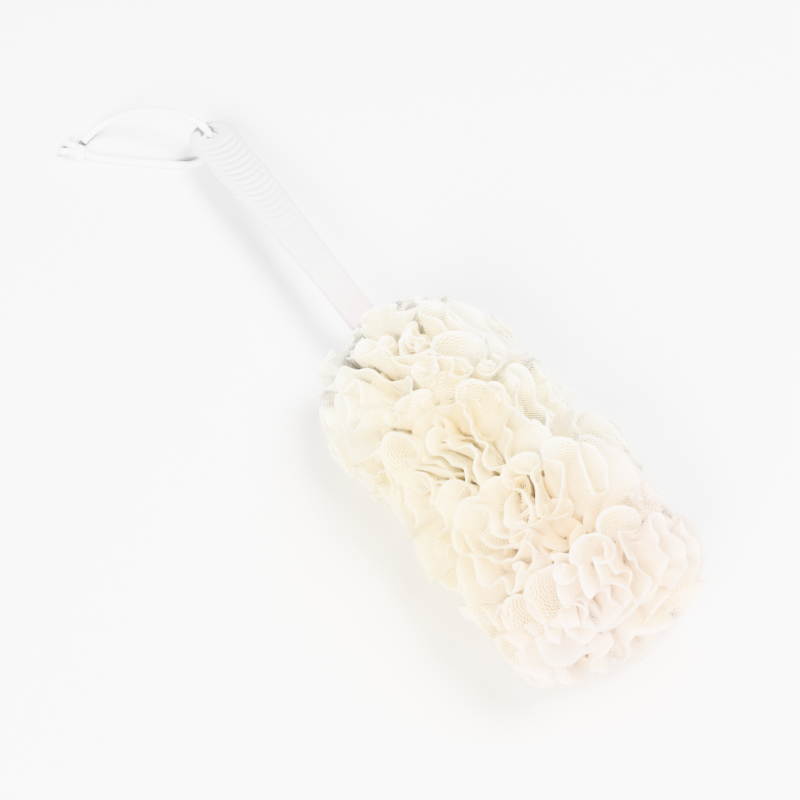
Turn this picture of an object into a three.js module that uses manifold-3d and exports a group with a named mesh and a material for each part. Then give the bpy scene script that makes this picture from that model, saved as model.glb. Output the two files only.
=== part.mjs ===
// A long-handled bath scrubber: a moulded handle whose hidden stem carries five gathered
// bundles of nylon netting, each bound on with twine, and a cord loop through the grip to hang it by.
// Millimetres. +X runs from the grip to the head, +Z is up, and z = 0 is the surface it lies on.

import * as THREE from 'three';
import { mergeVertices } from 'three/addons/utils/BufferGeometryUtils.js';
import Module from 'manifold-3d';

// ---- Driving dimensions ----
const TOTAL_LENGTH = 405;
const HEAD_LENGTH = 220;
const HEAD_RADIUS = 56;
const BUNDLE_COUNT = 5;
const GAP = 0.3; // left between pieces that touch

const GRIP_END_X = -TOTAL_LENGTH / 2;
const HEAD_START_X = TOTAL_LENGTH / 2 - HEAD_LENGTH;

// Centre line of the handle: straight and nearly level in the head, curving down towards the grip.
const NECK_HEIGHT = 43;
const GRIP_END_HEIGHT = 18.75;
const HEAD_TILT = THREE.MathUtils.degToRad(2);

// Flat bar that the hand holds.
const GRIP_WIDTH = 27;
const NECK_WIDTH = 17.5;
const TAPER_START_X = -185;
const TAPER_END_X = -45;
const GRIP_THICKNESS = 7.5;
const NECK_THICKNESS = 8.5;
const BAR_SQUARENESS = 4; // exponent of the rounded rectangular section; 2 is an ellipse

// Round stem inside the head.
const STEM_RADIUS = 6.5;
const STEM_BLEND = 14; // length over which the bar turns into the stem
const STEM_KNOB_RADIUS = 8.5;
const STEM_KNOB_LENGTH = 7;
const TIP_COVER = 16; // netting beyond the end of the stem

// Hanging hole and the shallow curved grooves next to it.
const HOLE_RADIUS = 5;
const HOLE_X = GRIP_END_X + 9.5;
const GROOVE_COUNT = 16;
const GROOVE_PITCH = 5.1;
const FIRST_GROOVE_X = HOLE_X + 10;
const GROOVE_BOW = 4; // how far the middle of a groove lies ahead of its ends
const GROOVE_DEPTH = 0.6;
const GROOVE_CUTTER_RADIUS = 1.2;
const GROOVE_SPREAD = 0.8; // share of the bar's width that a groove crosses

// Netting bundles.
const BUNDLE_ROUNDING = 12;
const NECK_ROUNDING = 20;
const TIP_ROUNDING = 34;
const PLEAT_COUNT = 9;
const PLEAT_DEPTH = 0.03; // share of the radius

// Twine that binds each bundle into a notch of the stem.
const TWINE_DIAMETER = 1.6;
const TWINE_TURNS = 2.75;
const TWINE_CLEARANCE = 0.15;
const NOTCH_DEPTH = 1.8;
const NOTCH_WIDTH = 7;

// Hanging cord, knot to knot: along the surface, under the bar, up through the hole and back.
const CORD_DIAMETER = 4.6;
const CORD_STEPS = 78;
const CORD_SIDES = 10;
const CORD_ROUTE = [
  [-231.6, -61.4, 3.8],
  [-229.0, -59.2, 3.1],
  [-225.5, -55.6, 2.7],
  [-218.0, -46.5, 2.6],
  [-210.5, -37.5, 2.6],
  [-203.5, -28.5, 2.6],
  [-197.5, -20.5, 2.7],
  [-193.6, -14.5, 3.1],
  [-191.8, -9.5, 4.0],
  [-190.9, -4.8, 6.2],
  [-190.6, -1.2, 9.6],
  [-190.7, 0.6, 13.4],
  [-191.3, 0.8, 17.0],
  [-192.5, 0.2, 20.7],
  [-194.1, -0.7, 24.3],
  [-196.6, -2.1, 27.7],
  [-200.4, -4.3, 29.8],
  [-205.5, -7.4, 30.3],
  [-211.0, -11.2, 29.6],
  [-216.8, -15.5, 28.2],
  [-222.4, -20.2, 26.1],
  [-228.0, -25.6, 23.2],
  [-233.0, -31.8, 19.6],
  [-236.9, -38.4, 15.6],
  [-239.5, -45.6, 11.6],
  [-240.3, -52.6, 8.3],
  [-239.2, -59.0, 6.2],
].map((point) => new THREE.Vector3(...point));
const KNOT_CENTRE = new THREE.Vector3(-236, -65.4, 5);
const KNOT_RADII = new THREE.Vector3(6, 5.4, 4.8);

// ---- Materials ----
function material(colour, roughness) {
  return new THREE.MeshStandardMaterial({ color: colour, roughness, metalness: 0 });
}

function mesh(name, geometry, surface) {
  const piece = new THREE.Mesh(geometry, surface);
  piece.name = name;
  return piece;
}

// ---- Joining and cutting solids ----
const wasm = await Module();
wasm.setup();

function solidOf(geometry) {
  const bare = geometry.clone();
  bare.deleteAttribute('normal');
  bare.deleteAttribute('uv');
  const merged = mergeVertices(bare, 1e-4);
  return new wasm.Manifold(new wasm.Mesh({
    numProp: 3,
    vertProperties: Float32Array.from(merged.attributes.position.array),
    triVerts: Uint32Array.from(merged.index.array),
  }));
}

function geometryOf(solid) {
  const { vertProperties, triVerts } = solid.getMesh();
  const geometry = new THREE.BufferGeometry();
  geometry.setAttribute('position', new THREE.BufferAttribute(vertProperties, 3));
  geometry.setIndex(new THREE.BufferAttribute(triVerts, 1));
  geometry.computeVertexNormals();
  return geometry;
}

// A closed tube of round section along a curve.
function tube(curve, radius, sides, steps) {
  const section = new THREE.Shape();
  for (let side = 0; side < sides; side += 1) {
    const angle = (2 * Math.PI * side) / sides;
    const x = radius * Math.cos(angle);
    const y = radius * Math.sin(angle);
    if (side === 0) {
      section.moveTo(x, y);
    } else {
      section.lineTo(x, y);
    }
  }
  return new THREE.ExtrudeGeometry(section, { steps, extrudePath: curve, curveSegments: 1 });
}

// ---- Shape of the handle ----
// Height of the centre line: level with the stem at the neck, bending down by a parabola towards the grip.
function centreHeight(x) {
  const slope = Math.tan(HEAD_TILT);
  const fromNeck = x - HEAD_START_X;
  const straight = NECK_HEIGHT + slope * fromNeck;
  if (fromNeck >= 0) {
    return straight;
  }
  const barLength = HEAD_START_X - GRIP_END_X;
  const drop = NECK_HEIGHT - slope * barLength - GRIP_END_HEIGHT;
  return straight - drop * (fromNeck / barLength) ** 2;
}

function barHalfWidth(x) {
  const taper = THREE.MathUtils.smoothstep(x, TAPER_START_X, TAPER_END_X);
  return THREE.MathUtils.lerp(GRIP_WIDTH, NECK_WIDTH, taper) / 2;
}

function barHalfThickness(x) {
  const taper = THREE.MathUtils.smoothstep(x, TAPER_START_X, TAPER_END_X);
  return THREE.MathUtils.lerp(GRIP_THICKNESS, NECK_THICKNESS, taper) / 2;
}

// Height of the bar's top face at a point in plan.
function topFace(x, y) {
  const across = Math.abs(y / barHalfWidth(x)) ** BAR_SQUARENESS;
  return centreHeight(x) + barHalfThickness(x) * (1 - across) ** (1 / BAR_SQUARENESS);
}

function notchCentres() {
  const pitch = HEAD_LENGTH / BUNDLE_COUNT;
  const centres = [];
  for (let bundle = 0; bundle < BUNDLE_COUNT - 1; bundle += 1) {
    centres.push(HEAD_START_X + pitch * (bundle + 0.5));
  }
  centres.push(stemEndX() - STEM_KNOB_LENGTH - NOTCH_WIDTH / 2);
  return centres;
}

function stemEndX() {
  return TOTAL_LENGTH / 2 - TIP_COVER;
}

// Sections of the bar, from its round end to the head. grow widens every section, to cut a clearance.
function barStations(grow) {
  const stations = [];
  const endRadius = GRIP_WIDTH / 2;
  for (let turn = 12; turn <= 78; turn += 11) {
    const angle = THREE.MathUtils.degToRad(turn);
    const x = GRIP_END_X + endRadius * (1 - Math.cos(angle));
    const edge = THREE.MathUtils.smoothstep(turn, -20, 70);
    stations.push({
      x,
      halfWidth: endRadius * Math.sin(angle) + grow,
      halfThickness: barHalfThickness(x) * (0.55 + 0.45 * edge) + grow,
      squareness: BAR_SQUARENESS,
    });
  }
  const start = GRIP_END_X + endRadius;
  const steps = 22;
  for (let step = 0; step <= steps; step += 1) {
    const x = THREE.MathUtils.lerp(start, HEAD_START_X, step / steps);
    stations.push({
      x,
      halfWidth: barHalfWidth(x) + grow,
      halfThickness: barHalfThickness(x) + grow,
      squareness: BAR_SQUARENESS,
    });
  }
  return stations;
}

// Sections where the bar turns into the round stem.
function blendStations(grow) {
  const stations = [];
  const steps = 5;
  for (let step = 1; step <= steps; step += 1) {
    const share = THREE.MathUtils.smoothstep(step / steps, 0, 1);
    stations.push({
      x: HEAD_START_X + (STEM_BLEND * step) / steps,
      halfWidth: THREE.MathUtils.lerp(NECK_WIDTH / 2, STEM_RADIUS, share) + grow,
      halfThickness: THREE.MathUtils.lerp(NECK_THICKNESS / 2, STEM_RADIUS, share) + grow,
      squareness: THREE.MathUtils.lerp(BAR_SQUARENESS, 2, share),
    });
  }
  return stations;
}

function roundStation(x, radius) {
  return { x, halfWidth: radius, halfThickness: radius, squareness: 2 };
}

// Sections of the stem, with a notch for each twine and a knob that holds the last bundle on.
function stemStations() {
  const stations = [];
  const notchRadius = STEM_RADIUS - NOTCH_DEPTH;
  const shoulder = 0.4;
  for (const centre of notchCentres()) {
    stations.push(roundStation(centre - NOTCH_WIDTH / 2 - shoulder, STEM_RADIUS));
    stations.push(roundStation(centre - NOTCH_WIDTH / 2, notchRadius));
    stations.push(roundStation(centre + NOTCH_WIDTH / 2, notchRadius));
    stations.push(roundStation(centre + NOTCH_WIDTH / 2 + shoulder, STEM_RADIUS));
  }
  const knobStart = stemEndX() - STEM_KNOB_LENGTH + shoulder;
  const knobHalf = (stemEndX() - knobStart) / 2;
  for (let turn = 130; turn >= 10; turn -= 20) {
    const angle = THREE.MathUtils.degToRad(turn);
    const x = knobStart + knobHalf + knobHalf * Math.cos(angle);
    stations.push(roundStation(x, STEM_KNOB_RADIUS * Math.sin(angle)));
  }
  return stations;
}

// A closed solid through a row of sections: a cylinder whose rings are moved onto them.
function loft(stations, sides) {
  const rows = stations.length - 1;
  const geometry = new THREE.CylinderGeometry(1, 1, rows, sides, rows);
  const position = geometry.attributes.position;
  const vertex = new THREE.Vector3();
  for (let i = 0; i < position.count; i += 1) {
    vertex.fromBufferAttribute(position, i);
    const { x, halfWidth, halfThickness, squareness } = stations[Math.round(vertex.y + rows / 2)];
    const across = Math.abs(vertex.z) ** squareness;
    const upward = Math.abs(vertex.x) ** squareness;
    const scale = across + upward > 0 ? (across + upward) ** (-1 / squareness) : 0;
    const y = vertex.z * scale * halfWidth;
    const z = centreHeight(x) + vertex.x * scale * halfThickness;
    position.setXYZ(i, x, y, z);
  }
  return geometry;
}

function holeCutter() {
  const height = 4 * GRIP_THICKNESS;
  const cutter = new THREE.CylinderGeometry(HOLE_RADIUS, HOLE_RADIUS, height, 28);
  cutter.rotateX(Math.PI / 2);
  cutter.translate(HOLE_X, 0, centreHeight(HOLE_X));
  return cutter;
}

function grooveCutter(index) {
  const grooveX = FIRST_GROOVE_X + index * GROOVE_PITCH;
  const reach = GROOVE_SPREAD * barHalfWidth(grooveX);
  const lift = GROOVE_CUTTER_RADIUS - GROOVE_DEPTH;
  const points = [];
  for (let share = -1; share <= 1.001; share += 0.25) {
    const x = grooveX + GROOVE_BOW * (1 - share ** 2);
    const y = share * reach;
    points.push(new THREE.Vector3(x, y, topFace(x, y) + lift));
  }
  return tube(new THREE.CatmullRomCurve3(points), GROOVE_CUTTER_RADIUS, 6, 10);
}

function makeHandle() {
  const stations = [...barStations(0), ...blendStations(0), ...stemStations()];
  let solid = solidOf(loft(stations, 24));
  solid = solid.subtract(solidOf(holeCutter()));
  for (let index = 0; index < GROOVE_COUNT; index += 1) {
    solid = solid.subtract(solidOf(grooveCutter(index)));
  }
  return mesh('handle', geometryOf(solid), material(0xf4eeec, 0.42));
}

// ---- Netting ----
// The room that the handle takes inside the netting.
function handleClearance() {
  const radius = STEM_RADIUS + GAP;
  const knobRadius = STEM_KNOB_RADIUS + GAP;
  const knobStart = stemEndX() - STEM_KNOB_LENGTH;
  const stations = [
    ...barStations(GAP),
    ...blendStations(GAP),
    roundStation(knobStart - GAP, radius),
    roundStation(knobStart, knobRadius),
    roundStation(stemEndX() + GAP, knobRadius),
  ];
  return solidOf(loft(stations, 24));
}

function arcPoints(centreX, centreY, radius, startDegrees, endDegrees, steps) {
  const points = [];
  for (let step = 0; step <= steps; step += 1) {
    const angle = THREE.MathUtils.degToRad(THREE.MathUtils.lerp(startDegrees, endDegrees, step / steps));
    const x = centreX + radius * Math.cos(angle);
    const y = centreY + radius * Math.sin(angle);
    points.push(new THREE.Vector2(x, y));
  }
  return points;
}

// A pleated disc of netting along the stem, from start to end, with rounded shoulders.
function bundleGeometry(index, start, end, startRounding, endRounding) {
  const profile = [
    new THREE.Vector2(0, start),
    ...arcPoints(HEAD_RADIUS - startRounding, start + startRounding, startRounding, -90, 0, 4),
    ...arcPoints(HEAD_RADIUS - endRounding, end - endRounding, endRounding, 0, 90, 5),
    new THREE.Vector2(0, end),
  ];
  const geometry = new THREE.LatheGeometry(profile, 4 * PLEAT_COUNT);
  const position = geometry.attributes.position;
  for (let i = 0; i < position.count; i += 1) {
    const angle = Math.atan2(position.getZ(i), position.getX(i));
    const pleat = 1 + PLEAT_DEPTH * Math.cos(PLEAT_COUNT * angle + index);
    position.setX(i, position.getX(i) * pleat);
    position.setZ(i, position.getZ(i) * pleat);
  }
  geometry.rotateZ(-Math.PI / 2);
  geometry.rotateY(-HEAD_TILT);
  geometry.translate(HEAD_START_X, 0, NECK_HEIGHT);
  return geometry;
}

// Everything above the surface that the scrubber lies on, where the soft head goes flat.
function aboveSurface() {
  const size = 3 * TOTAL_LENGTH;
  const box = new THREE.BoxGeometry(size, size, size);
  box.translate(0, 0, size / 2);
  return solidOf(box);
}

function bundleName(index) {
  return index === BUNDLE_COUNT - 1 ? 'tip_rosette' : `netting_ruffle_${index + 1}`;
}

function makeBundles() {
  const netting = material(0xf6f0dc, 0.85);
  const clearance = handleClearance();
  const kept = aboveSurface();
  const pitch = HEAD_LENGTH / BUNDLE_COUNT;
  const bundles = [];
  for (let index = 0; index < BUNDLE_COUNT; index += 1) {
    const last = index === BUNDLE_COUNT - 1;
    const startRounding = index === 0 ? NECK_ROUNDING : BUNDLE_ROUNDING;
    const endRounding = last ? TIP_ROUNDING : BUNDLE_ROUNDING;
    const start = index * pitch + (index === 0 ? 0 : GAP / 2);
    const end = (index + 1) * pitch - (last ? 0 : GAP / 2);
    const disc = solidOf(bundleGeometry(index, start, end, startRounding, endRounding));
    const solid = disc.intersect(kept).subtract(clearance);
    bundles.push(mesh(bundleName(index), geometryOf(solid), netting.clone()));
  }
  return bundles;
}

// ---- Twine ----
class Winding extends THREE.Curve {
  constructor(radius, turns, pitch) {
    super();
    this.radius = radius;
    this.turns = turns;
    this.pitch = pitch;
  }

  getPoint(share, target = new THREE.Vector3()) {
    const angle = 2 * Math.PI * this.turns * share;
    const along = (share - 0.5) * this.turns * this.pitch;
    return target.set(along, this.radius * Math.cos(angle), this.radius * Math.sin(angle));
  }
}

function makeTwines() {
  const twine = material(0xf3efe2, 0.8);
  const radius = STEM_RADIUS - NOTCH_DEPTH + TWINE_CLEARANCE + TWINE_DIAMETER / 2;
  const winding = new Winding(radius, TWINE_TURNS, TWINE_DIAMETER + TWINE_CLEARANCE);
  return notchCentres().map((centre, index) => {
    const piece = mesh(`binding_twine_${index + 1}`, tube(winding, TWINE_DIAMETER / 2, 6, 36), twine.clone());
    piece.position.set(centre, 0, centreHeight(centre));
    return piece;
  });
}

// ---- Hanging loop ----
function makeCord() {
  const route = new THREE.CatmullRomCurve3(CORD_ROUTE, false, 'centripetal');
  const geometry = tube(route, CORD_DIAMETER / 2, CORD_SIDES, CORD_STEPS);
  return mesh('hanging_cord', geometry, material(0xf7f6f4, 0.75));
}

function makeKnot() {
  const geometry = new THREE.SphereGeometry(1, 16, 12);
  geometry.scale(KNOT_RADII.x, KNOT_RADII.y, KNOT_RADII.z);
  const piece = mesh('cord_knot', geometry, material(0xf7f6f4, 0.75));
  piece.position.copy(KNOT_CENTRE);
  return piece;
}

const scrubber = new THREE.Group();
scrubber.add(makeHandle());
scrubber.add(...makeBundles());
scrubber.add(...makeTwines());
scrubber.add(makeCord());
scrubber.add(makeKnot());

export default scrubber;
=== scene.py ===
import math

import bpy
import numpy as np
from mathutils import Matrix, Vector


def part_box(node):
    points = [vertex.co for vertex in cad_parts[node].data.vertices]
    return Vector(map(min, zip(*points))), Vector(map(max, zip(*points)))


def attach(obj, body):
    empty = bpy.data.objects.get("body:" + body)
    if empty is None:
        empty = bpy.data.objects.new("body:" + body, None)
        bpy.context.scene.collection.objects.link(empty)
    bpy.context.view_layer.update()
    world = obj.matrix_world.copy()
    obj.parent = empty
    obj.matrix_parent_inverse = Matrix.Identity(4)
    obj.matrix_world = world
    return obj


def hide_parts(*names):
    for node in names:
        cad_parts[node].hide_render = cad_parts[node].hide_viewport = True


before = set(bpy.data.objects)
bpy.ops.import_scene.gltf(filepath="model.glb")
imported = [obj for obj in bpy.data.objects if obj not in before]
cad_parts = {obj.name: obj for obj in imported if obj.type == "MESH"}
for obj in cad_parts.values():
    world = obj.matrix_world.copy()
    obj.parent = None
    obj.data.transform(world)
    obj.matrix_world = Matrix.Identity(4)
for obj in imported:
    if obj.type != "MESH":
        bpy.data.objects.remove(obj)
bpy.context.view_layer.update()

MM = 0.001

# ---- Driving dimensions, millimetres; +X runs from the grip to the head, z = 0 is the table ----
TOTAL_LENGTH = 405.0
HEAD_LENGTH = 220.0
GRIP_END_X = -TOTAL_LENGTH / 2
HEAD_START_X = TOTAL_LENGTH / 2 - HEAD_LENGTH
HEAD_TILT = math.radians(2.0)
NECK_HEIGHT = 43.0
GRIP_END_HEIGHT = 18.75

GRIP_WIDTH = 27.0
NECK_WIDTH = 17.5
TAPER_START_X = -185.0
TAPER_END_X = -45.0
GRIP_THICKNESS = 7.5
NECK_THICKNESS = 8.5
BAR_SQUARENESS = 4.0

STEM_RADIUS = 6.5
STEM_BLEND = 14.0
STEM_KNOB_RADIUS = 8.5
STEM_KNOB_LENGTH = 7.0
STEM_END_X = TOTAL_LENGTH / 2 - 16.0
NOTCH_DEPTH = 1.8
NOTCH_WIDTH = 7.0

HOLE_RADIUS = 5.0
HOLE_X = GRIP_END_X + 9.5
GROOVE_COUNT = 16
GROOVE_PITCH = 5.1
FIRST_GROOVE_X = HOLE_X + 10.0
GROOVE_BOW = 4.0
GROOVE_DEPTH = 0.45
HOLE_ROUNDING = 1.2
NOTCH_EDGE = 0.4

BUNDLES = [f"netting_ruffle_{number}" for number in range(1, 5)] + ["tip_rosette"]
TWINES = [f"binding_twine_{number}" for number in range(1, 6)]

# ---- The head's outer form, a cylinder with rounded ends, measured along its tilted axis ----
COVER_START = 2.0
COVER_END = 225.0
COVER_RADIUS = 56.0
NECK_ROUNDING = 50.0
TIP_ROUNDING = 30.0
HEAD_ORIGIN = np.array([HEAD_START_X, 0.0, NECK_HEIGHT])
HEAD_AXIS = np.array([math.cos(HEAD_TILT), 0.0, math.sin(HEAD_TILT)])
HEAD_SIDE = np.array([0.0, 1.0, 0.0])
HEAD_UP = np.cross(HEAD_AXIS, HEAD_SIDE)

# ---- The netting's rims: where each starts, how they grow, and how far apart they settle ----
FIRST_RIMS = [  # distance along the head, radius
    (18.0, 42.0),
    (64.0, 56.0),
    (110.0, 56.0),
    (156.0, 56.0),
    (212.0, 38.0),
]
RIM_STEP = 4.0  # spacing of the rim's points while it grows
TOP_SPACING = 9.0  # how far apart neighbouring folds push each other, on the top and underneath
UNDER_SPACING = 16.0
RIM_POINTS = 2700
GROWTH_RATE = 0.024
GROWTH_STEPS = 95
SETTLE_STEPS = 35
GROWTH_SEED = 11

# ---- Each tube of net, from its tie at the stem out to its rim ----
TIE_RADIUS = 7.6
ELBOW_DEPTH = 27.0
MOST_LEAN = 18.0
TABLE_FLATTENING = 7.0
OUTER_SHAPE = {"height": 0.5, "lean": 13.0, "wall_rows": 22, "swell": 1.0}
INNER_SHAPE = {"height": 0.0, "lean": 8.0, "wall_rows": 12, "swell": 1.4}
INNER_INSET = 10.0
INNER_TURN = 0.9

# ---- Where the netting's cream turns yellower and pinker, metres ----
YELLOW_SPOT = (0.102, -0.047, 0.065)
PINK_SPOT = (0.205, 0.015, 0.060)

# ---- Hanging cord: knot to knot, the same route as its CAD tube ----
CORD_DIAMETER = 4.6
BRAID_CARRIERS = 8
BRAID_LEAD = 13.0
CORD_ROUTE = [
    (-231.6, -61.4, 3.8),
    (-229.0, -59.2, 3.1),
    (-225.5, -55.6, 2.7),
    (-218.0, -46.5, 2.6),
    (-210.5, -37.5, 2.6),
    (-203.5, -28.5, 2.6),
    (-197.5, -20.5, 2.7),
    (-193.6, -14.5, 3.1),
    (-191.8, -9.5, 4.0),
    (-190.9, -4.8, 6.2),
    (-190.6, -1.2, 9.6),
    (-190.7, 0.6, 13.4),
    (-191.3, 0.8, 17.0),
    (-192.5, 0.2, 20.7),
    (-194.1, -0.7, 24.3),
    (-196.6, -2.1, 27.7),
    (-200.4, -4.3, 29.8),
    (-205.5, -7.4, 30.3),
    (-211.0, -11.2, 29.6),
    (-216.8, -15.5, 28.2),
    (-222.4, -20.2, 26.1),
    (-228.0, -25.6, 23.2),
    (-233.0, -31.8, 19.6),
    (-236.9, -38.4, 15.6),
    (-239.5, -45.6, 11.6),
    (-240.3, -52.6, 8.3),
    (-239.2, -59.0, 6.2),
]


# ---- Camera, at the photograph's angle ----
def make_camera():
    azimuth = math.radians(57.3)
    elevation = math.radians(59.0)
    distance = 1.30
    target = Vector((0.0200, -0.0067, 0.030))
    flat = math.cos(elevation)
    back = Vector((math.sin(azimuth) * flat, -math.cos(azimuth) * flat, math.sin(elevation)))
    data = bpy.data.cameras.new("camera")
    data.lens = 109.8
    data.sensor_width = 36.0
    camera = bpy.data.objects.new("camera", data)
    camera.location = target + back * distance
    camera.rotation_mode = "QUATERNION"
    camera.rotation_quaternion = (-back).to_track_quat("-Z", "Y")
    bpy.context.scene.collection.objects.link(camera)
    bpy.context.scene.camera = camera


# ---- Mesh helpers ----
def make_piece(name, points, faces, uvs=None, attributes=None, smooth=True):
    """A mesh object from points in millimetres."""
    mesh = bpy.data.meshes.new(name)
    mesh.from_pydata((np.asarray(points) * MM).tolist(), [], faces)
    mesh.update()
    mesh.polygons.foreach_set("use_smooth", np.full(len(mesh.polygons), smooth))
    if uvs is not None:
        layer = mesh.uv_layers.new(name="cloth")
        corners = np.empty(len(mesh.loops), dtype=np.int32)
        mesh.loops.foreach_get("vertex_index", corners)
        layer.data.foreach_set("uv", np.asarray(uvs, dtype=np.float32)[corners].ravel())
    for label, values in (attributes or {}).items():
        attribute = mesh.attributes.new(label, "FLOAT", "POINT")
        attribute.data.foreach_set("value", np.asarray(values, dtype=np.float32))
    piece = bpy.data.objects.new(name, mesh)
    bpy.context.scene.collection.objects.link(piece)
    return piece


def grid_faces(rows, columns, close_rows=False, close_columns=False):
    """Quads of a grid of points stored row by row."""
    last_row = rows if close_rows else rows - 1
    last_column = columns if close_columns else columns - 1
    faces = []
    for row in range(last_row):
        this_row = row * columns
        next_row = ((row + 1) % rows) * columns
        for column in range(last_column):
            after = (column + 1) % columns
            faces.append((this_row + column, this_row + after, next_row + after, next_row + column))
    return faces


def join_parts(parts):
    """The points and faces of several (points, faces) parts as one."""
    faces = []
    start = 0
    for part_points, part_faces in parts:
        faces += [tuple(corner + start for corner in face) for face in part_faces]
        start += len(part_points)
    return np.concatenate([part_points for part_points, part_faces in parts]), faces


def unit(vectors):
    lengths = np.linalg.norm(vectors, axis=-1, keepdims=True)
    return vectors / np.maximum(lengths, 1e-9)


def smoothstep(value, low, high):
    share = np.clip((np.asarray(value, dtype=float) - low) / (high - low), 0.0, 1.0)
    return share * share * (3.0 - 2.0 * share)


def spline(points, step, closed=False):
    """Points a step apart along a centripetal Catmull-Rom curve through the given points."""
    points = np.asarray(points, dtype=float)
    count = len(points)
    dense = []
    spans = count if closed else count - 1
    for span in range(spans):
        if closed:
            p0, p1, p2, p3 = (points[(span + offset) % count] for offset in (-1, 0, 1, 2))
        else:
            p1, p2 = points[span], points[span + 1]
            p0 = points[span - 1] if span > 0 else 2 * p1 - p2
            p3 = points[span + 2] if span + 2 < count else 2 * p2 - p1
        knots = np.cumsum([0.0] + [np.linalg.norm(b - a) ** 0.5 for a, b in ((p0, p1), (p1, p2), (p2, p3))])
        for share in np.linspace(0.0, 1.0, 8, endpoint=False):
            t = knots[1] + share * (knots[2] - knots[1])
            a1 = p0 + (p1 - p0) * (t - knots[0]) / (knots[1] - knots[0])
            a2 = p1 + (p2 - p1) * (t - knots[1]) / (knots[2] - knots[1])
            a3 = p2 + (p3 - p2) * (t - knots[2]) / (knots[3] - knots[2])
            b1 = a1 + (a2 - a1) * (t - knots[0]) / (knots[2] - knots[0])
            b2 = a2 + (a3 - a2) * (t - knots[1]) / (knots[3] - knots[1])
            dense.append(b1 + (b2 - b1) * (t - knots[1]) / (knots[2] - knots[1]))
    dense.append(points[0] if closed else points[-1])
    return evenly(np.array(dense), step, closed)


def evenly(line, step, closed):
    """The same line with its points evenly spaced, without the repeated last point of a closed one."""
    travelled = np.concatenate([[0.0], np.cumsum(np.linalg.norm(np.diff(line, axis=0), axis=1))])
    count = max(4, int(round(travelled[-1] / step)))
    places = np.linspace(0.0, travelled[-1], count + 1)
    if closed:
        places = places[:-1]
    return np.stack([np.interp(places, travelled, line[:, axis]) for axis in range(3)], axis=1)


def frames_along(line):
    """A line's direction and two unit vectors across it at each point, turning as little as they can."""
    tangents = unit(np.gradient(line, axis=0))
    side = np.cross(tangents[0], (0.0, 0.0, 1.0))
    if np.linalg.norm(side) < 0.1:
        side = np.cross(tangents[0], (1.0, 0.0, 0.0))
    sides = []
    for tangent in tangents:
        side = side - tangent * np.dot(side, tangent)
        side = side / np.linalg.norm(side)
        sides.append(side)
    sides = np.array(sides)
    return tangents, sides, np.cross(tangents, sides)


# ---- Material helpers ----
class Nodes:
    """Builds one material's node tree in few words."""

    def __init__(self, name):
        self.material = bpy.data.materials.new(name)
        self.material.use_nodes = True
        self.tree = self.material.node_tree
        self.tree.nodes.clear()
        self.output = self.add("ShaderNodeOutputMaterial")

    def add(self, kind, inputs=None, **settings):
        node = self.tree.nodes.new(kind)
        for key, value in settings.items():
            setattr(node, key, value)
        for key, value in (inputs or {}).items():
            socket = node.inputs[key]
            if isinstance(value, bpy.types.NodeSocket):
                self.tree.links.new(value, socket)
            else:
                socket.default_value = value
        return node

    def math(self, operation, first, second=0.0, third=0.0):
        inputs = {0: first, 1: second, 2: third}
        return self.add("ShaderNodeMath", inputs, operation=operation).outputs[0]

    def ranged(self, value, low, high, to_low=0.0, to_high=1.0, smooth=True):
        node = self.add(
            "ShaderNodeMapRange",
            {"Value": value, "From Min": low, "From Max": high, "To Min": to_low, "To Max": to_high},
            interpolation_type="SMOOTHSTEP" if smooth else "LINEAR",
        )
        return node.outputs[0]

    def blend(self, share, first, second):
        node = self.add("ShaderNodeMix", {0: share, 6: first, 7: second}, data_type="RGBA")
        return node.outputs[2]

    def multiply(self, first, second):
        settings = {"data_type": "RGBA", "blend_type": "MULTIPLY"}
        return self.add("ShaderNodeMix", {0: 1.0, 6: first, 7: second}, **settings).outputs[2]

    def noise(self, place, scale, detail=3.0):
        node = self.add("ShaderNodeTexNoise", {"Vector": place, "Scale": scale, "Detail": detail})
        return node.outputs["Fac"]

    def place(self):
        return self.add("ShaderNodeTexCoord").outputs["Object"]

    def near(self, place, spot, inner, outer, uneven):
        """1 inside the inner distance from a spot, fading unevenly to 0 at the outer one."""
        away = self.add("ShaderNodeVectorMath", {0: place, 1: spot}, operation="DISTANCE").outputs["Value"]
        swayed = self.math("ADD", away, self.ranged(uneven, 0.25, 0.75, -0.012, 0.012))
        return self.ranged(swayed, inner, outer, 1.0, 0.0)

    def surface(self, socket):
        self.tree.links.new(socket, self.output.inputs["Surface"])
        return self.material


def plastic_material():
    nodes = Nodes("white_satin_plastic")
    place = nodes.place()
    cloudy = nodes.noise(place, 14.0)
    grain = nodes.noise(place, 1400.0, 2.0)
    white = nodes.blend(cloudy, (0.715, 0.708, 0.707, 1), (0.735, 0.728, 0.727, 1))
    along = nodes.add("ShaderNodeSeparateXYZ", {0: place}).outputs[0]
    # Painted shade: the plastic turns pinker and darker towards the neck, beside the netting head.
    colour = nodes.blend(nodes.ranged(along, -0.06, -0.012), white, (0.71, 0.655, 0.662, 1))
    roughness = nodes.ranged(nodes.noise(place, 60.0), 0.3, 0.7, 0.36, 0.48)
    bump = nodes.add("ShaderNodeBump", {"Strength": 0.25, "Distance": 0.00004, "Height": grain})
    shader = nodes.add(
        "ShaderNodeBsdfPrincipled",
        {
            "Base Color": colour,
            "Roughness": roughness,
            "Normal": bump.outputs[0],
            "Subsurface Weight": 0.05,
            "Subsurface Scale": 0.004,
        },
    )
    return nodes.surface(shader.outputs[0])


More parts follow.
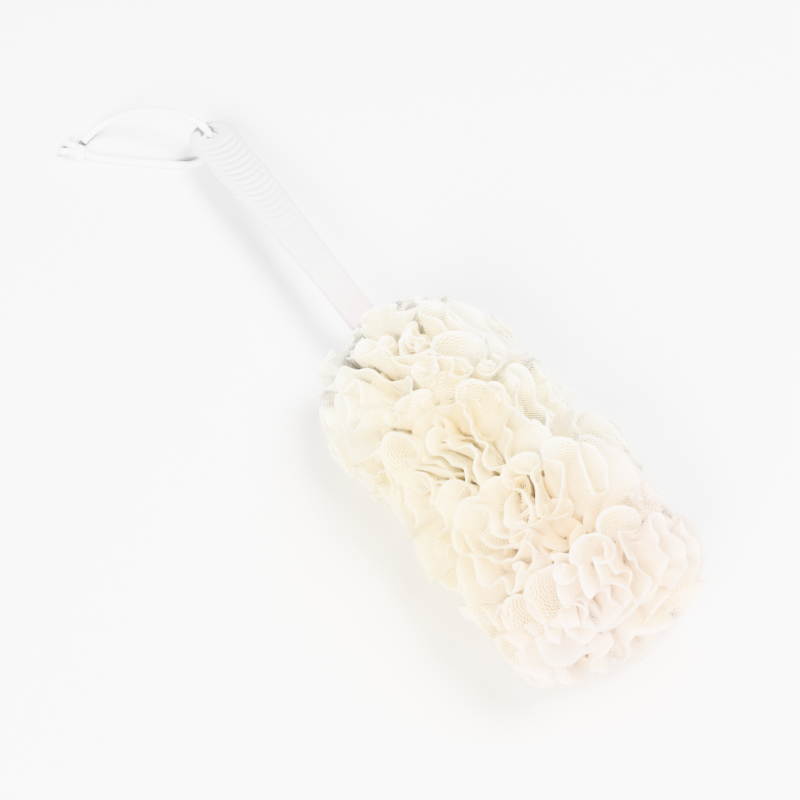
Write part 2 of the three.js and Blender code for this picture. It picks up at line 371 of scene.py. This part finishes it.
def fibre_material(name, light, dark):
    """Braided or twisted synthetic yarn: fine fibres and slightly darker patches at random."""
    nodes = Nodes(name)
    place = nodes.place()
    fibres = nodes.noise(place, 2600.0, 2.0)
    patches = nodes.noise(place, 220.0)
    colour = nodes.blend(nodes.ranged(patches, 0.3, 0.7), dark, light)
    bump = nodes.add("ShaderNodeBump", {"Strength": 0.5, "Distance": 0.00006, "Height": fibres})
    shader = nodes.add(
        "ShaderNodeBsdfPrincipled",
        {
            "Base Color": colour,
            "Roughness": nodes.ranged(fibres, 0.2, 0.8, 0.55, 0.8),
            "Normal": bump.outputs[0],
            "Sheen Weight": 0.3,
            "Sheen Roughness": 0.4,
        },
    )
    return nodes.surface(shader.outputs[0])


def netting_material():
    """Knitted nylon net: diamond holes near the rims, closing up and warming in the gathered depths, where
    the warmer and darker colour is painted shade.
    """
    nodes = Nodes("cream_nylon_netting")
    place = nodes.place()
    cloth = nodes.add("ShaderNodeUVMap", uv_map="cloth").outputs[0]
    across = nodes.add("ShaderNodeSeparateXYZ", {0: cloth})
    depth = nodes.add("ShaderNodeAttribute", attribute_name="depth").outputs["Fac"]

    hole_width = 1.35 * MM
    hole_height = 1.65 * MM
    sway = nodes.ranged(nodes.noise(cloth, 120.0, 0.0), 0.0, 1.0, -1.2, 1.2, smooth=False)
    along = nodes.math("MULTIPLY_ADD", across.outputs[0], math.pi / hole_width, sway)
    down = nodes.math("MULTIPLY_ADD", across.outputs[1], math.pi / hole_height, sway)
    rising = nodes.math("SINE", nodes.math("ADD", along, down))
    falling = nodes.math("SINE", nodes.math("SUBTRACT", along, down))
    cell = nodes.math("ABSOLUTE", nodes.math("MULTIPLY", rising, falling))
    slack = nodes.ranged(nodes.noise(place, 55.0, 1.0), 0.35, 0.65, 0.36, 0.14)
    hole = nodes.ranged(cell, slack, nodes.math("ADD", slack, 0.25))
    patches = nodes.ranged(nodes.noise(place, 26.0, 1.0), 0.45, 0.62, 0.4, 0.85)
    fading = nodes.ranged(depth, 0.1, 0.45, 1.0, 0.0)
    along_head = nodes.add("ShaderNodeSeparateXYZ", {0: place}).outputs[0]
    sheer_neck = nodes.ranged(along_head, 0.0, 0.035, 0.6, 0.0)
    openness = nodes.math("MULTIPLY", nodes.math("MAXIMUM", patches, sheer_neck), fading)
    rim = nodes.ranged(depth, 0.01, 0.04)
    see = nodes.math("MULTIPLY", nodes.math("MULTIPLY", hole, openness), rim)

    uneven = nodes.noise(place, 30.0)
    # Painted shade: deeper into the folds the net's colour turns warmer and darker, standing in for light
    # scattered between its layers.
    fold_shade_depth = nodes.math("ADD", depth, nodes.ranged(uneven, 0.2, 0.8, -0.12, 0.12))
    outer = nodes.blend(nodes.ranged(fold_shade_depth, 0.0, 0.25), (0.988, 0.988, 0.987, 1), (0.988, 0.985, 0.979, 1))
    cream = nodes.blend(nodes.ranged(fold_shade_depth, 0.25, 0.65), outer, (0.988, 0.945, 0.83, 1))
    yellow = nodes.near(place, YELLOW_SPOT, 0.01, 0.11, uneven)
    pink = nodes.near(place, PINK_SPOT, 0.02, 0.12, uneven)
    tinted = nodes.multiply(cream, nodes.blend(yellow, (1, 1, 1, 1), (1.0, 0.982, 0.932, 1)))
    colour = nodes.multiply(tinted, nodes.blend(pink, (1, 1, 1, 1), (1.0, 0.98, 0.975, 1)))

    bump = nodes.add("ShaderNodeBump", {"Strength": 0.3, "Distance": 0.0002, "Height": hole}, invert=True)
    cloth_shader = nodes.add(
        "ShaderNodeBsdfPrincipled",
        {
            "Base Color": colour,
            "Roughness": nodes.ranged(nodes.noise(place, 400.0), 0.3, 0.7, 0.5, 0.68),
            "Normal": bump.outputs[0],
            "Sheen Weight": 0.25,
            "Sheen Roughness": 0.35,
        },
    )
    glow = nodes.add("ShaderNodeBsdfTranslucent", {"Color": colour})
    lit = nodes.add("ShaderNodeMixShader", {0: 0.33, 1: cloth_shader.outputs[0], 2: glow.outputs[0]})
    # Painted warm light: the holes pass light with a golden tint, standing in for light scattered inside the
    # folds.
    clear = nodes.add("ShaderNodeBsdfTransparent", {"Color": (1.0, 0.973, 0.905, 1)})
    mixed = nodes.add("ShaderNodeMixShader", {0: see, 1: lit.outputs[0], 2: clear.outputs[0]})
    return nodes.surface(mixed.outputs[0])


def floor_material():
    nodes = Nodes("pale_table")
    grain = nodes.noise(nodes.place(), 3.0)
    colour = nodes.blend(grain, (0.90, 0.90, 0.905, 1), (0.91, 0.91, 0.915, 1))
    shader = nodes.add("ShaderNodeBsdfPrincipled", {"Base Color": colour, "Roughness": 0.6})
    return nodes.surface(shader.outputs[0])


def dress(piece, material):
    piece.data.materials.clear()
    piece.data.materials.append(material)


# ---- Cord ----
def ring_tube(centre, across, half_width, up, half_height, corner_count):
    """Points and faces of a tube whose oval section follows a line of centres."""
    corners = np.arange(corner_count) * 2 * math.pi / corner_count
    rings = (
        centre[:, None, :]
        + across[:, None, :] * (half_width * np.cos(corners))[None, :, None]
        + up[:, None, :] * (half_height * np.sin(corners))[None, :, None]
    )
    return rings.reshape(-1, 3), grid_faces(len(centre), corner_count, False, True)


def braid(line, diameter):
    """Points and faces of a hollow braid round a line, its strands crossing over and under."""
    carriers = BRAID_CARRIERS
    lead = BRAID_LEAD
    tangents, sides, ups = frames_along(line)
    travelled = np.concatenate([[0.0], np.cumsum(np.linalg.norm(np.diff(line, axis=0), axis=1))])
    radius = diameter / 2
    weave = 0.09 * radius
    half_width, half_height = 0.34 * radius, 0.14 * radius
    middle = radius - weave - half_height
    parts = []
    for turn in (1, -1):
        for carrier in range(carriers):
            angle = turn * 2 * math.pi * travelled / lead + 2 * math.pi * carrier / carriers
            lift = turn * weave * np.cos(2 * carriers * math.pi * travelled / lead)
            outward = np.cos(angle)[:, None] * sides + np.sin(angle)[:, None] * ups
            around = -np.sin(angle)[:, None] * sides + np.cos(angle)[:, None] * ups
            centre = line + outward * (middle + lift)[:, None]
            slope = turn * 2 * math.pi * middle / lead
            across = unit(around - slope * tangents)
            parts.append(ring_tube(centre, across, half_width, -outward, half_height, 8))
    core = 0.8 * middle
    parts.append(ring_tube(line, sides, core, ups, core, 12))
    return join_parts(parts)


def make_cord(material):
    line = spline(CORD_ROUTE, 0.75)
    points, faces = braid(line, CORD_DIAMETER)
    cord = make_piece("braided_hanging_cord", points, faces)
    dress(cord, material)
    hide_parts("hanging_cord")
    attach(cord, "hanging_loop")
    knot = make_knot(material)


def make_knot(material):
    """The two ends of the cord tied together: a tight three-lobed knot and two short fused tails."""
    low, high = (np.array(corner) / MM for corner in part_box("cord_knot"))
    centre, half = (low + high) / 2, (high - low) / 2
    turns = np.linspace(0.0, 2 * math.pi, 90, endpoint=False)
    shape = np.stack(
        [
            (np.sin(turns) + 2 * np.sin(2 * turns)) / 3,
            (np.cos(turns) - 2 * np.cos(2 * turns)) / 3,
            -np.sin(3 * turns),
        ],
        axis=1,
    )
    room = half - 0.42 * CORD_DIAMETER
    line = centre + shape * room
    line = np.concatenate([line, line[:1]])
    parts = [braid(evenly(line, 0.75, False), 0.86 * CORD_DIAMETER)]
    for heading in ((-0.55, -0.8, -0.1), (-0.95, -0.25, 0.12)):
        heading = np.array(heading)
        tail = centre + heading * np.linspace(2.5, 9.0, 12)[:, None]
        tail[:, 2] = np.maximum(tail[:, 2], CORD_DIAMETER / 2 + 0.2)
        parts.append(braid(evenly(tail, 0.75, False), 0.9 * CORD_DIAMETER))
        parts.append(fused_end(tail[-1], heading, 0.44 * CORD_DIAMETER))
    knot = make_piece("tied_cord_knot", *join_parts(parts))
    dress(knot, material)
    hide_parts("cord_knot")
    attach(knot, "hanging_loop")
    return knot


def fused_end(centre, heading, radius):
    """A low dome where the cut yarns were melted together."""
    heading = heading / np.linalg.norm(heading)
    side = unit(np.cross(heading, (0.0, 0.0, 1.0)))
    up = np.cross(heading, side)
    around = np.arange(16) * math.pi / 8
    points = []
    for rise in np.radians([0, 25, 50, 75]):
        ring = np.cos(around)[:, None] * side + np.sin(around)[:, None] * up
        points.append(centre + ring * radius * math.cos(rise) + heading * 0.6 * radius * math.sin(rise))
    points.append((centre + heading * 0.6 * radius)[None, :])
    faces = grid_faces(4, 16, False, True)
    faces += [(48 + place, 48 + (place + 1) % 16, 64) for place in range(16)]
    return np.concatenate(points), faces


# ---- Handle ----
def centre_height(x):
    slope = math.tan(HEAD_TILT)
    from_neck = np.asarray(x, dtype=float) - HEAD_START_X
    bar = HEAD_START_X - GRIP_END_X
    drop = NECK_HEIGHT - slope * bar - GRIP_END_HEIGHT
    return NECK_HEIGHT + slope * from_neck - drop * np.where(from_neck < 0, (from_neck / bar) ** 2, 0.0)


def bar_size(x):
    """Half the bar's width and half its thickness."""
    taper = smoothstep(x, TAPER_START_X, TAPER_END_X)
    half_width = (GRIP_WIDTH + (NECK_WIDTH - GRIP_WIDTH) * taper) / 2
    half_thickness = (GRIP_THICKNESS + (NECK_THICKNESS - GRIP_THICKNESS) * taper) / 2
    return half_width, half_thickness


def handle_sections():
    """x, half width, half thickness and squareness of each section, from the grip to the knob."""
    sections = []
    end_radius = GRIP_WIDTH / 2
    for turn in np.linspace(0.06, math.pi / 2, 26):
        x = GRIP_END_X + end_radius * (1 - math.cos(turn))
        edge = float(smoothstep(math.degrees(turn), -20, 70))
        thickness = bar_size(x)[1] * (0.55 + 0.45 * edge)
        sections.append((x, end_radius * math.sin(turn), thickness, BAR_SQUARENESS))
    for x in np.arange(GRIP_END_X + end_radius + 0.5, HEAD_START_X, 0.5):
        half_width, half_thickness = bar_size(x)
        sections.append((x, half_width, half_thickness, BAR_SQUARENESS))
    for share in np.linspace(0.0, 1.0, 12):
        eased = float(smoothstep(share, 0, 1))
        half_width = NECK_WIDTH / 2 + (STEM_RADIUS - NECK_WIDTH / 2) * eased
        half_thickness = NECK_THICKNESS / 2 + (STEM_RADIUS - NECK_THICKNESS / 2) * eased
        squareness = BAR_SQUARENESS + (2 - BAR_SQUARENESS) * eased
        sections.append((HEAD_START_X + STEM_BLEND * share, half_width, half_thickness, squareness))
    for name in TWINES:
        low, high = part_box(name)
        middle = (low[0] + high[0]) / 2 / MM
        inner, outer = NOTCH_WIDTH / 2, NOTCH_WIDTH / 2 + NOTCH_EDGE
        for offset, depth in ((-outer, 0.0), (-inner, 1.0), (inner, 1.0), (outer, 0.0)):
            radius = STEM_RADIUS - NOTCH_DEPTH * depth
            sections.append((middle + offset, radius, radius, 2.0))
    knob_half = (STEM_KNOB_LENGTH - 0.4) / 2
    for turn in np.radians(np.arange(130, 5, -12)):
        x = STEM_END_X - knob_half + knob_half * math.cos(turn)
        radius = STEM_KNOB_RADIUS * math.sin(turn)
        sections.append((x, radius, radius, 2.0))
    return sections


def groove_depth(x, across):
    """How deep the curved grip grooves are at a place on the top face; across runs from -1 to 1."""
    line = x - FIRST_GROOVE_X - GROOVE_BOW * (1 - (across / 0.8) ** 2)
    nearest = np.round(line / GROOVE_PITCH)
    used = (nearest >= 0) & (nearest < GROOVE_COUNT)
    distance = np.abs(line - nearest * GROOVE_PITCH)
    fade_out = 1.0 - 0.75 * smoothstep(nearest, GROOVE_COUNT - 7, GROOVE_COUNT)
    sides = 1.0 - smoothstep(np.abs(across), 0.66, 0.84)
    return GROOVE_DEPTH * used * fade_out * sides * (1.0 - smoothstep(distance, 0.1, 1.5))


def make_handle(material):
    sides = 144
    turns = np.arange(sides) * 2 * math.pi / sides
    points = []
    for x, half_width, half_thickness, squareness in handle_sections():
        across, up = np.cos(turns), np.sin(turns)
        scale = (np.abs(across) ** squareness + np.abs(up) ** squareness) ** (-1 / squareness)
        y = across * scale * half_width
        z = up * scale * half_thickness
        if squareness == BAR_SQUARENESS:
            on_top = smoothstep(up, 0.25, 0.5)
            z = z - on_top * groove_depth(x, across * scale)
        points.append(np.stack([np.full(sides, x), y, z + centre_height(x)], axis=1))
    rows = len(points)
    points = np.concatenate(points)
    faces = grid_faces(rows, sides, False, True)
    faces.append(tuple(range(sides - 1, -1, -1)))
    faces.append(tuple(range((rows - 1) * sides, rows * sides)))
    handle = make_piece("moulded_handle", points, faces)
    drill_hole(handle)
    dress(handle, material)
    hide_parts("handle")
    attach(handle, "scrubber")


def drill_hole(handle):
    """Cuts the hanging hole with softly rounded rims."""
    middle = float(centre_height(HOLE_X))
    half = GRIP_THICKNESS / 2
    profile = [(HOLE_RADIUS + 3.0, half + 3.0), (HOLE_RADIUS + HOLE_ROUNDING, half + 0.05)]
    for turn in np.radians(np.arange(15, 91, 15)):
        radius = HOLE_RADIUS + HOLE_ROUNDING * (1 - math.sin(turn))
        profile.append((radius, half - HOLE_ROUNDING * (1 - math.cos(turn))))
    profile += [(radius, -height) for radius, height in reversed(profile)]
    sides = 64
    turns = np.arange(sides) * 2 * math.pi / sides
    points = []
    for radius, height in profile:
        ring = np.stack([HOLE_X + radius * np.cos(turns), radius * np.sin(turns)], axis=1)
        slope = 0.2 * (ring[:, 0] - HOLE_X)
        points.append(np.column_stack([ring, middle + height + slope]))
    faces = grid_faces(len(profile), sides, False, True)
    faces.append(tuple(range(sides - 1, -1, -1)))
    faces.append(tuple(range((len(profile) - 1) * sides, len(profile) * sides)))
    faces = [tuple(reversed(face)) for face in faces]
    cutter = make_piece("hole_cutter", np.concatenate(points), faces)
    modifier = handle.modifiers.new("hole", "BOOLEAN")
    modifier.operation = "DIFFERENCE"
    modifier.solver = "EXACT"
    modifier.object = cutter
    evaluated = handle.evaluated_get(bpy.context.evaluated_depsgraph_get())
    mesh = bpy.data.meshes.new_from_object(evaluated)
    handle.modifiers.clear()
    handle.data = mesh
    bpy.data.objects.remove(cutter)


# ---- Twine ----
def make_twines(material):
    """The hidden twine keeps its plain solids and only takes its own material."""
    for name in TWINES:
        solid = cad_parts[name]
        solid.data.materials.clear()
        solid.data.materials.append(material)


# ---- Netting ----
def around_axis(points):
    """Distance along the head's axis, distance from it, and the unit vector away from it."""
    relative = points - HEAD_ORIGIN
    along = relative @ HEAD_AXIS
    radial = relative - along[:, None] * HEAD_AXIS
    distance = np.linalg.norm(radial, axis=1)
    return along, distance, radial / np.maximum(distance, 1e-9)[:, None]


def onto_head(points):
    """The nearest points on the head's outer form, a cylinder with rounded ends, and its normals there."""
    along, distance, radial = around_axis(points)
    neck_side = along < HEAD_LENGTH / 2
    rounding = np.where(neck_side, NECK_ROUNDING, TIP_ROUNDING)
    sign = np.where(neck_side, -1.0, 1.0)
    base = np.where(neck_side, COVER_START + NECK_ROUNDING, COVER_END - TIP_ROUNDING)
    past_end = sign * (along - base)
    past_side = distance - (COVER_RADIUS - rounding)
    corner = np.hypot(np.maximum(past_end, 0.0), np.maximum(past_side, 0.0))
    corner = np.maximum(corner, 1e-6)
    on_side = past_end <= 0
    on_end = ~on_side & (past_side <= 0)
    out = np.where(on_side, 1.0, np.where(on_end, 0.0, past_side / corner))
    forward = np.where(on_side, 0.0, np.where(on_end, 1.0, past_end / corner))
    new_distance = np.where(on_end, distance, COVER_RADIUS - rounding + rounding * out)
    new_along = np.where(on_side, along, base + sign * rounding * forward)
    places = HEAD_ORIGIN + new_along[:, None] * HEAD_AXIS + new_distance[:, None] * radial
    normals = out[:, None] * radial + (sign * forward)[:, None] * HEAD_AXIS
    return places, normals


def first_rims(random):
    """The rim of each bundle before it ruffles: a slightly wavy ring round the head."""
    rims = []
    for along, radius in FIRST_RIMS:
        count = int(2 * math.pi * radius / RIM_STEP)
        turn = np.arange(count) * 2 * math.pi / count
        places = along + 2.0 * np.sin(9 * turn + along) + random.normal(0.0, 0.8, count)
        ring = np.cos(turn)[:, None] * HEAD_SIDE + np.sin(turn)[:, None] * HEAD_UP
        rims.append(onto_head(HEAD_ORIGIN + places[:, None] * HEAD_AXIS + radius * ring)[0])
    return rims


def lengthen(rim, random):
    """Adds a point in the middle of a few of the rim's steps."""
    middles = 0.5 * (rim + np.roll(rim, -1, axis=0))
    chosen = random.random(len(rim)) < GROWTH_RATE
    places = np.arange(len(rim)) + np.concatenate([[0], np.cumsum(chosen)[:-1]])
    longer = np.empty((len(rim) + int(chosen.sum()), 3))
    longer[places] = rim
    longer[places[chosen] + 1] = middles[chosen]
    return longer


def close_pairs(points, rim_of, order, count):
    """Pairs of rim points near enough to push each other, and their reach; not neighbours along one rim."""
    places = (points - HEAD_ORIGIN).astype(np.float32)
    squares = (places * places).sum(axis=1)
    gaps = squares[:, None] + squares[None, :] - 2 * (places @ places.T)
    under = 0.5 - 0.5 * around_axis(points)[2][:, 2]
    reach = TOP_SPACING + (UNDER_SPACING - TOP_SPACING) * under
    first, second = np.nonzero(gaps < (1.2 * reach[:, None]) ** 2)
    apart = np.abs(order[first] - order[second])
    apart = np.minimum(apart, count[first] - apart)
    kept = (rim_of[first] != rim_of[second]) | (apart > 2)
    first, second = first[kept], second[kept]
    return first, second, 0.5 * (reach[first] + reach[second])


def relax(points, starts, pairs):
    """One small move: folds push apart, the rim resists bending and stretching."""
    first, second, reach = pairs
    away = points[first] - points[second]
    distance = np.sqrt((away * away).sum(axis=1)) + 1e-9
    weight = np.maximum(1 - distance / reach, 0.0) / distance
    force = np.empty_like(points)
    for axis in range(3):
        force[:, axis] = 1.6 * np.bincount(first, weights=weight * away[:, axis], minlength=len(points))
    for start, stop in zip(starts[:-1], starts[1:]):
        rim = points[start:stop]
        before, after = np.roll(rim, 1, axis=0), np.roll(rim, -1, axis=0)
        force[start:stop] += 0.30 * (0.5 * (before + after) - rim)
        for other in (before, after):
            pull = other - rim
            length = np.linalg.norm(pull, axis=1, keepdims=True) + 1e-9
            force[start:stop] += 0.25 * pull * (1 - RIM_STEP / length)
    size = np.linalg.norm(force, axis=1, keepdims=True)
    force *= np.minimum(1.0, 1.5 / np.maximum(size, 1e-9))
    return np.round(onto_head(points + force)[0], 5)


def grow_rims():
    """Lets the five rims grow longer than the head has room for, so that they fold as gathered net does."""
    random = np.random.default_rng(GROWTH_SEED)
    rims = first_rims(random)
    for step in range(GROWTH_STEPS + SETTLE_STEPS):
        if step < GROWTH_STEPS and sum(len(rim) for rim in rims) < RIM_POINTS:
            rims = [lengthen(rim, random) for rim in rims]
        sizes = [len(rim) for rim in rims]
        starts = np.concatenate([[0], np.cumsum(sizes)])
        points = np.concatenate(rims)
        rim_of = np.repeat(np.arange(len(rims)), sizes)
        order = np.concatenate([np.arange(size) for size in sizes])
        count = np.repeat(sizes, sizes)
        pairs = close_pairs(points, rim_of, order, count)
        for _ in range(3):
            points = relax(points, starts, pairs)
        rims = np.split(points, starts[1:-1])
    return rims


class Waves:
    """A smooth random field: a sum of a few plane waves."""

    def __init__(self, seed, wavelength, count=9):
        random = np.random.default_rng(seed)
        headings = unit(random.normal(size=(count, 3)))
        lengths = wavelength * random.uniform(0.7, 1.6, count)
        self.waves = headings * (2 * math.pi / lengths)[:, None]
        self.phases = random.uniform(0, 2 * math.pi, count)
        self.scale = math.sqrt(2.0 / count)

    def __call__(self, points):
        return self.scale * np.sin(points @ self.waves.T + self.phases).sum(axis=1)


def smoothed(values, passes):
    """The values along a closed line, each averaged with its neighbours a number of times."""
    for _ in range(passes):
        values = 0.25 * np.roll(values, 1, axis=0) + 0.5 * values + 0.25 * np.roll(values, -1, axis=0)
    return values


def settled(points):
    """The head's own shape: narrower at the neck, sagging a little to its far side, and flat on the table."""
    along, distance, radial = around_axis(points)
    share = np.clip(along / HEAD_LENGTH, 0.0, 1.1)
    outer = smoothstep(distance, 5.0, 45.0)
    swell = (0.06 * share - 0.03) * outer * distance
    points = points + radial * swell[:, None]
    points[:, 1] += 10.0 * share * outer
    points[:, 2] += 3.0 * share * outer
    low = points[:, 2] < TABLE_FLATTENING
    points[low, 2] = TABLE_FLATTENING * np.exp((points[low, 2] - TABLE_FLATTENING) / TABLE_FLATTENING)
    return points


def tube_wall(places, normals, tie, seed, height, lean, wall_rows, swell):
    """Points, depths below the rim and widths of a flattened tube of net, from tie to rim and back."""
    tangents = unit(np.roll(places, -1, axis=0) - np.roll(places, 1, axis=0))
    beside = unit(np.cross(normals, tangents))
    gravity = np.array([0.0, 0.0, -1.0])
    down = gravity - normals * (normals @ gravity)[:, None]
    drift = np.stack([Waves(seed + offset, 70.0)(places) for offset in (1, 2, 3)], axis=1)
    lean = lean * (beside * (0.9 * down + 0.8 * drift)).sum(axis=1) + 3.0 * Waves(seed + 4, 25.0)(places)
    lean = smoothed(np.clip(lean, -MOST_LEAN, MOST_LEAN), 6)
    height = height + 3.2 * Waves(seed + 5, 38.0)(places)
    puff = swell * (1.6 + 0.8 * Waves(seed + 6, 30.0)(places))
    flutter = 0.8 * Waves(seed + 7, 11.0)(places)
    top = places + normals * height[:, None]
    elbow = top - normals * ELBOW_DEPTH
    bottom = tie + around_axis(places)[2] * TIE_RADIUS

    sweep = np.linspace(0.0, 1.0, wall_rows) ** 1.5
    profile = [(share, -1.0) for share in sweep[:0:-1]] + [(0.0, 0.0)] + [(share, 1.0) for share in sweep[1:]]
    points = np.empty((len(places), len(profile), 3))
    for column, (share, side) in enumerate(profile):
        base = (1 - share) ** 2 * top + 2 * share * (1 - share) * elbow + share ** 2 * bottom
        bend = max(0.0, 1.0 - share / 0.55) ** 2
        fold = math.sqrt(1.0 - (1.0 - min(share / 0.04, 1.0)) ** 2)
        billow = math.sin(math.pi * min(1.0, share / 0.9)) ** 0.8
        offset = lean * bend + side * fold * (0.75 + puff * billow) + flutter * max(0.0, 1.0 - share / 0.3)
        sink = lean ** 2 / 54.0 * bend
        points[:, column] = base + beside * offset[:, None] - normals * sink[:, None]
    depths = np.array([share for share, side in profile])
    widths = np.concatenate([[0.0], np.cumsum(np.linalg.norm(np.diff(points, axis=1), axis=2).mean(axis=0))])
    return points, depths, widths - widths[len(profile) // 2]


def net_tube(rim, step, tie, seed, inset=0.0, turn=0.0, **shape):
    """One closed tube of net along a rim: points, faces, cloth coordinates, depths and its cut size."""
    line = evenly(smoothed(spline(rim, 1.0, closed=True), 3), step, True)
    if turn:
        along, distance, radial = around_axis(line)
        across = np.cross(HEAD_AXIS, radial)
        ring = radial * math.cos(turn) + across * math.sin(turn)
        line = HEAD_ORIGIN + along[:, None] * HEAD_AXIS + distance[:, None] * ring
    places, normals = onto_head(line)
    places = places - inset * normals
    points, depths, widths = tube_wall(places, normals, tie, seed, **shape)
    rows, columns = points.shape[:2]
    uvs = np.stack([np.repeat(np.arange(rows) * step, columns), np.tile(widths, rows)], axis=1) * MM
    faces = [tuple(reversed(face)) for face in grid_faces(rows, columns, True, True)]
    cut = (float(widths.max()) * MM, rows * step * MM)
    return settled(points.reshape(-1, 3)), faces, uvs, np.tile(depths, rows), cut


def make_bundle(name, rim, twine, material, seed):
    """A long tube of net bound at the stem, with an outer ruffle and shorter folds inside it."""
    low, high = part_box(twine)
    tie = np.array([(low[axis] + high[axis]) / 2 / MM for axis in range(3)])
    outer = net_tube(rim, 1.3, tie, seed, **OUTER_SHAPE)
    inner = net_tube(rim, 2.0, tie, seed + 50, inset=INNER_INSET, turn=INNER_TURN, **INNER_SHAPE)
    points, faces = join_parts([outer[:2], inner[:2]])
    uvs = np.concatenate([outer[2], inner[2]])
    depths = np.concatenate([outer[3], 0.35 + 0.65 * inner[3]])
    bundle = make_piece(f"net_{name}", points, faces, uvs, {"depth": depths}, smooth=False)
    dress(bundle, material)
    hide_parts(name)
    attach(bundle, "scrubber")


def make_netting(material):
    for index, (name, rim) in enumerate(zip(BUNDLES, grow_rims())):
        make_bundle(name, rim, TWINES[index], material, 10 * index + 5)


# ---- Stage ----
LIGHT_TARGET = Vector((0.06, 0.0, 0.03))
TABLE_REACH = 1.7


def make_stage(material):
    reach = TABLE_REACH
    mesh = bpy.data.meshes.new("table")
    corners = [(-reach, -reach, 0.0), (reach, -reach, 0.0), (reach, reach, 0.0), (-reach, reach, 0.0)]
    mesh.from_pydata(corners, [], [(0, 1, 2, 3)])
    mesh.materials.append(material)
    table = bpy.data.objects.new("table", mesh)
    bpy.context.scene.collection.objects.link(table)


def area_light(name, place, size, power):
    data = bpy.data.lights.new(name, "AREA")
    data.shape = "SQUARE"
    data.size = size
    data.energy = power
    light = bpy.data.objects.new(name, data)
    light.location = place
    light.rotation_mode = "QUATERNION"
    light.rotation_quaternion = (LIGHT_TARGET - Vector(place)).to_track_quat("-Z", "Y")
    bpy.context.scene.collection.objects.link(light)


def make_lights():
    area_light("far_softbox", (0.45, 0.60, 2.00), 1.0, 58.0)
    area_light("near_softbox", (1.05, -1.25, 1.45), 0.9, 56.0)
    area_light("grip_side_fill", (-1.30, -0.10, 1.30), 1.2, 4.0)
    bpy.context.scene.world = bright_room()


def bright_room():
    """A dim room whose walls are bright near the table's level."""
    world = bpy.data.worlds.new("bright_room")
    world.use_nodes = True
    tree = world.node_tree
    background = tree.nodes["Background"]
    background.inputs["Color"].default_value = (1.0, 1.0, 1.0, 1.0)
    direction = tree.nodes.new("ShaderNodeTexCoord")
    split = tree.nodes.new("ShaderNodeSeparateXYZ")
    fade = tree.nodes.new("ShaderNodeMapRange")
    fade.interpolation_type = "SMOOTHSTEP"
    for socket, value in (("From Min", 0.10), ("From Max", 0.32), ("To Min", 1.2), ("To Max", 0.07)):
        fade.inputs[socket].default_value = value
    tree.links.new(direction.outputs["Generated"], split.inputs[0])
    tree.links.new(split.outputs["Z"], fade.inputs["Value"])
    tree.links.new(fade.outputs[0], background.inputs["Strength"])
    return world


def set_colours():
    scene = bpy.context.scene
    scene.view_settings.view_transform = "Khronos PBR Neutral"
    scene.view_settings.exposure = -0.25
    scene.cycles.max_bounces = 24
    scene.cycles.diffuse_bounces = 20
    scene.cycles.transparent_max_bounces = 48


make_camera()
cord_yarn = fibre_material("white_braided_yarn", (0.90, 0.90, 0.895, 1), (0.82, 0.82, 0.815, 1))
make_cord(cord_yarn)
make_handle(plastic_material())
make_twines(fibre_material("off_white_twine", (0.90, 0.88, 0.82, 1), (0.80, 0.77, 0.70, 1)))
make_netting(netting_material())
make_stage(floor_material())
make_lights()
set_colours()
